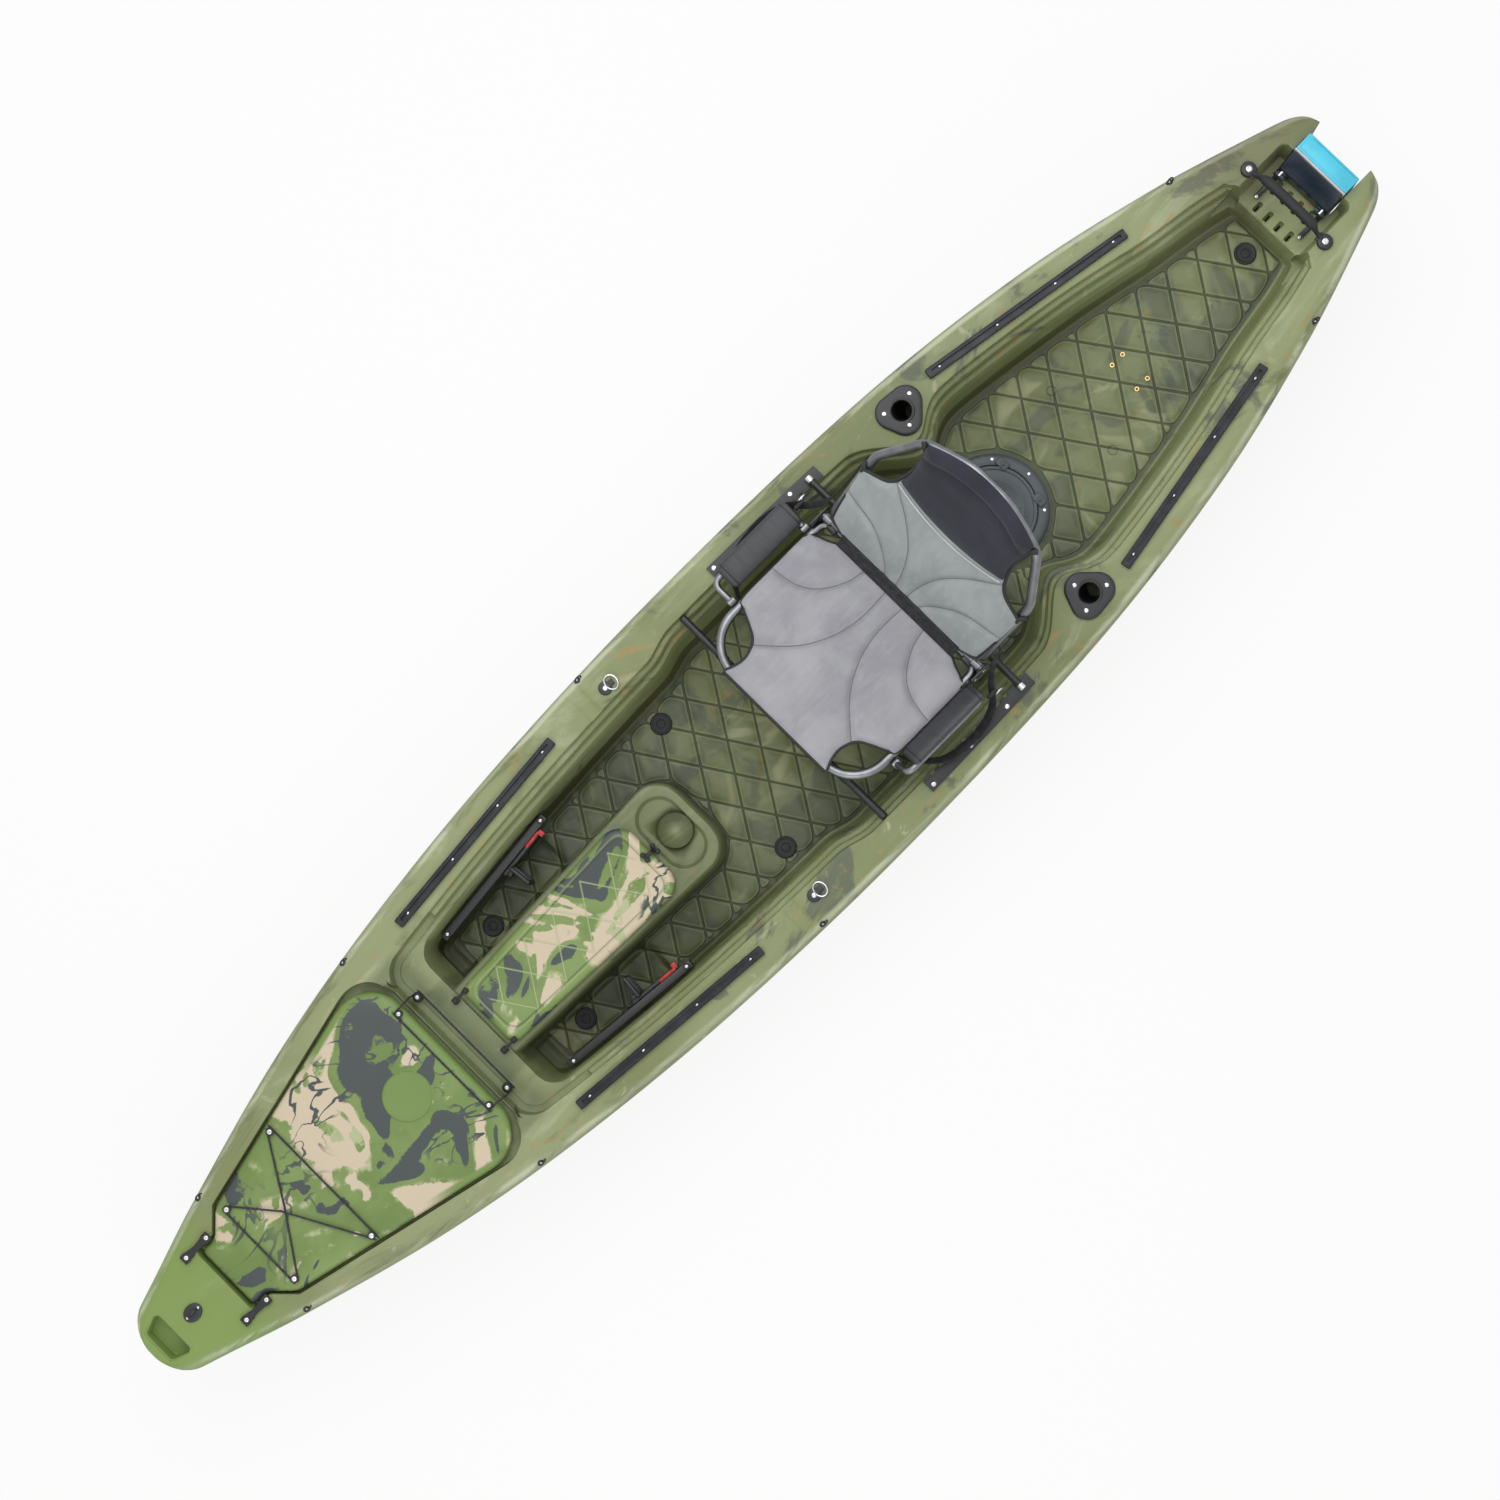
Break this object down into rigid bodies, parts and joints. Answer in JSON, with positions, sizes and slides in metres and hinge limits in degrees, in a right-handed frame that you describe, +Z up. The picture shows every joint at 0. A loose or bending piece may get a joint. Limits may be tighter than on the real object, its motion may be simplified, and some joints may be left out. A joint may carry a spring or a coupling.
{
  "type": "motorized kayak",
  "caption": "Sit-on-top fishing kayak with camouflage hull, framed reclining seat, hatches, rod holders, foot braces and a steerable electric stern drive.",
  "frame": {"origin": "amidships, on the centreline, at the lowest point of the hull's bottom", "axes": "+X to the bow, +Y to port, +Z up"},
  "size_m": [3.96, 0.844, 0.8554],
  "materials": {
    "hull_plastic": "rotomoulded, mottled olive and brown",
    "lid_plastic": "rotomoulded, mottled camouflage",
    "hatch_grey": "moulded, satin",
    "black_plastic": "moulded, satin",
    "track_aluminium": "black anodised",
    "lever_red": "moulded",
    "stainless": "polished",
    "black_rubber": "matt",
    "seat_tube": "satin anodised",
    "seat_fabric": "light grey air mesh",
    "back_fabric": "blue-grey air mesh",
    "pocket_fabric": "navy coated cloth",
    "pad_foam": "closed-cell foam",
    "drive_navy": "moulded, satin gloss",
    "drive_blue": "moulded",
    "trim_white": "moulded",
    "leg_metal": "anodised grey",
    "motor_metal": "turned",
    "prop_plastic": "glass-filled nylon",
    "battery_case": "moulded",
    "controller_case": "cast, matt"
  },
  "bodies": {
    "hull": {"lower_hull": "hull_plastic", "deck": "hull_plastic", "cockpit_tub": "hull_plastic", "hatch_gasket": "black_rubber", "hatch_loop": "black_rubber", "round_hatch_ring": "hatch_grey", "bow_eye": "black_plastic", "battery": "battery_case", "motor_controller": "controller_case", "drive_bracket": "black_plastic", "stern_handle": "black_rubber", "rear_track_port": "track_aluminium", "rear_track_starboard": "track_aluminium", "front_track_port": "track_aluminium", "front_track_starboard": "track_aluminium", "rod_holder_port": "black_plastic", "rod_holder_starboard": "black_plastic", "foot_rail_port": "black_plastic", "foot_rail_starboard": "black_plastic", "seat_rail_port": "black_plastic", "seat_rail_starboard": "black_plastic", "padeye_port": "stainless", "padeye_starboard": "stainless", "handle_bracket_port": "black_plastic", "handle_bracket_starboard": "black_plastic", "bow_hinge_link_port": "black_rubber", "bow_hinge_link_starboard": "black_rubber", "console_hinge_link_port": "black_rubber", "console_hinge_link_starboard": "black_rubber"},
    "bow_hatch_lid": {"bow_lid": "lid_plastic", "lid_bungee": "black_rubber"},
    "console_hatch_lid": {"console_lid": "lid_plastic"},
    "console_latch_strap": {"console_latch": "black_rubber"},
    "round_lid": {"round_hatch_lid": "hatch_grey"},
    "seat": {"seat_frame": "seat_tube", "seat_pan": "seat_fabric"},
    "seat_backrest": {"seat_back_frame": "seat_tube", "seat_back": "back_fabric", "back_pocket": "pocket_fabric"},
    "armrest_port": {"armrest_tube_port": "seat_tube", "armrest_pad_port": "pad_foam"},
    "armrest_starboard": {"armrest_tube_starboard": "seat_tube", "armrest_pad_starboard": "pad_foam"},
    "pedal_port": {"foot_pedal_port": "black_plastic"},
    "pedal_starboard": {"foot_pedal_starboard": "black_plastic"},
    "pedal_release_port": {"pedal_lever_port": "lever_red"},
    "pedal_release_starboard": {"pedal_lever_starboard": "lever_red"},
    "drive_head": {"drive_housing": "drive_navy", "drive_cover": "drive_blue", "drive_trim": "trim_white", "steering_servo": "black_plastic"},
    "drive_leg_assembly": {"drive_leg": "leg_metal", "motor_pod": "drive_navy", "drive_motor": "motor_metal"},
    "propeller_body": {"propeller": "prop_plastic"},
    "plug_cockpit_port": {"cockpit_plug_port": "black_rubber"},
    "plug_cockpit_starboard": {"cockpit_plug_starboard": "black_rubber"},
    "plug_foot_well_port": {"foot_well_plug_port": "black_rubber"},
    "plug_foot_well_starboard": {"foot_well_plug_starboard": "black_rubber"},
    "plug_stern": {"stern_plug": "black_rubber"}
  },
  "joints": [
    {"name": "bow_hatch_hinge", "type": "hinge", "parent": "hull", "child": "bow_hatch_lid", "pos_m": [1.73499, 0, 0.37949], "axis": [0, 1, 0], "range_deg": [0, 95], "deforming": ["hatch_loop", "bow_hinge_link_port", "bow_hinge_link_starboard"]},
    {"name": "console_lid_hinge", "type": "hinge", "parent": "hull", "child": "console_hatch_lid", "pos_m": [0.89403, 0, 0.293], "axis": [0, 1, 0], "range_deg": [0, 95], "deforming": ["console_hinge_link_port", "console_hinge_link_starboard"]},
    {"name": "console_latch_lift", "type": "hinge", "parent": "console_hatch_lid", "child": "console_latch_strap", "pos_m": [0.36003, 0, 0.3093], "axis": [0, 1, 0], "range_deg": [0, 100]},
    {"name": "round_hatch_hinge", "type": "hinge", "parent": "hull", "child": "round_lid", "pos_m": [-0.92812, 0, 0.188], "axis": [0, -1, 0], "range_deg": [0, 80]},
    {"name": "seat_slide", "type": "slide", "parent": "hull", "child": "seat", "axis": [1, 0, 0], "range_m": [-0.02, 0.03]},
    {"name": "seat_recline", "type": "hinge", "parent": "seat", "child": "seat_backrest", "pos_m": [-0.505, 0, 0.47], "axis": [0, 1, 0], "range_deg": [0, 105]},
    {"name": "armrest_swing_port", "type": "hinge", "parent": "seat", "child": "armrest_port", "pos_m": [-0.455, 0.2673, 0.43], "axis": [1, 0, 0], "range_deg": [-52, 6]},
    {"name": "armrest_swing_starboard", "type": "hinge", "parent": "seat", "child": "armrest_starboard", "pos_m": [-0.455, -0.2673, 0.43], "axis": [1, 0, 0], "range_deg": [-58, 0]},
    {"name": "pedal_slide_port", "type": "slide", "parent": "hull", "child": "pedal_port", "axis": [0.9955, -0.0946, 0], "range_m": [-0.02, 0.18]},
    {"name": "pedal_slide_starboard", "type": "slide", "parent": "hull", "child": "pedal_starboard", "axis": [0.9955, 0.0946, 0], "range_m": [-0.02, 0.18]},
    {"name": "pedal_release_port", "type": "hinge", "parent": "pedal_port", "child": "pedal_release_port", "pos_m": [0.54464, 0.23075, 0.2175], "axis": [0.0946, 0.9955, 0], "range_deg": [0, 15], "stiffness_Nm_per_rad": 0.2},
    {"name": "pedal_release_starboard", "type": "hinge", "parent": "pedal_starboard", "child": "pedal_release_starboard", "pos_m": [0.54464, -0.23075, 0.2175], "axis": [-0.0946, 0.9955, 0], "range_deg": [0, 15], "stiffness_Nm_per_rad": 0.2},
    {"name": "drive_tilt", "type": "hinge", "parent": "hull", "child": "drive_head", "pos_m": [-1.83791, 0, 0.33], "axis": [0, 1, 0], "range_deg": [0, 60]},
    {"name": "drive_steer", "type": "hinge", "parent": "drive_head", "child": "drive_leg_assembly", "pos_m": [-1.89308, 0, 0.285], "axis": [0, 0, 1], "range_deg": [-35, 35]},
    {"name": "propeller_spin", "type": "hinge", "parent": "drive_leg_assembly", "child": "propeller_body", "pos_m": [-1.92708, 0, 0.084], "axis": [1, 0, 0], "continuous": true},
    {"name": "cockpit_plug_pull_port", "type": "slide", "parent": "hull", "child": "plug_cockpit_port", "axis": [0, 0, 1], "range_m": [0, 0.05]},
    {"name": "cockpit_plug_pull_starboard", "type": "slide", "parent": "hull", "child": "plug_cockpit_starboard", "axis": [0, 0, 1], "range_m": [0, 0.05]},
    {"name": "foot_well_plug_pull_port", "type": "slide", "parent": "hull", "child": "plug_foot_well_port", "axis": [0, 0, 1], "range_m": [0, 0.05]},
    {"name": "foot_well_plug_pull_starboard", "type": "slide", "parent": "hull", "child": "plug_foot_well_starboard", "axis": [0, 0, 1], "range_m": [0, 0.05]},
    {"name": "stern_plug_pull", "type": "slide", "parent": "hull", "child": "plug_stern", "axis": [0, 0, 1], "range_m": [0, 0.05]}
  ]
}
